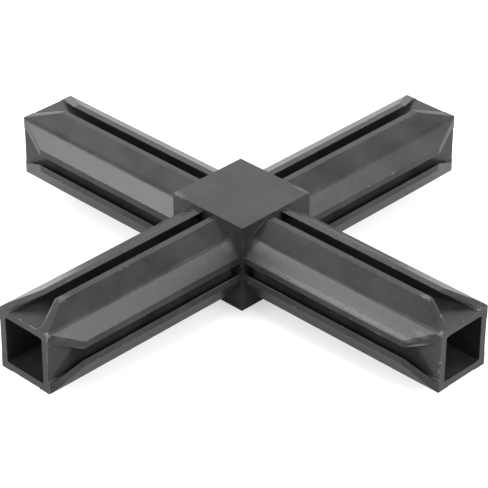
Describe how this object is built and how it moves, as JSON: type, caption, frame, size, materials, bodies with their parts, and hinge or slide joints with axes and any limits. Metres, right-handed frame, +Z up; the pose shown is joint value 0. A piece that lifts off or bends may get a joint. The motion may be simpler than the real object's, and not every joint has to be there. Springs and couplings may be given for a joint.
{
  "type": "square tube connector",
  "caption": "Flat cross-shaped connector: a cube head with hollow legs whose paired lips grip the inside of square tubes pushed over them.",
  "frame": {"origin": "middle of the underside of the head, level with the face that it rests on", "axes": "+X and +Y along two of the legs, +Z up, square to the plane of the legs"},
  "size_m": [0.1506, 0.1506, 0.025],
  "materials": {
    "black_plastic": "satin moulded plastic with a fine grain and slight scuffs on its edges"
  },
  "bodies": {
    "root": {"connector_body": "black_plastic"}
  },
  "joints": []
}
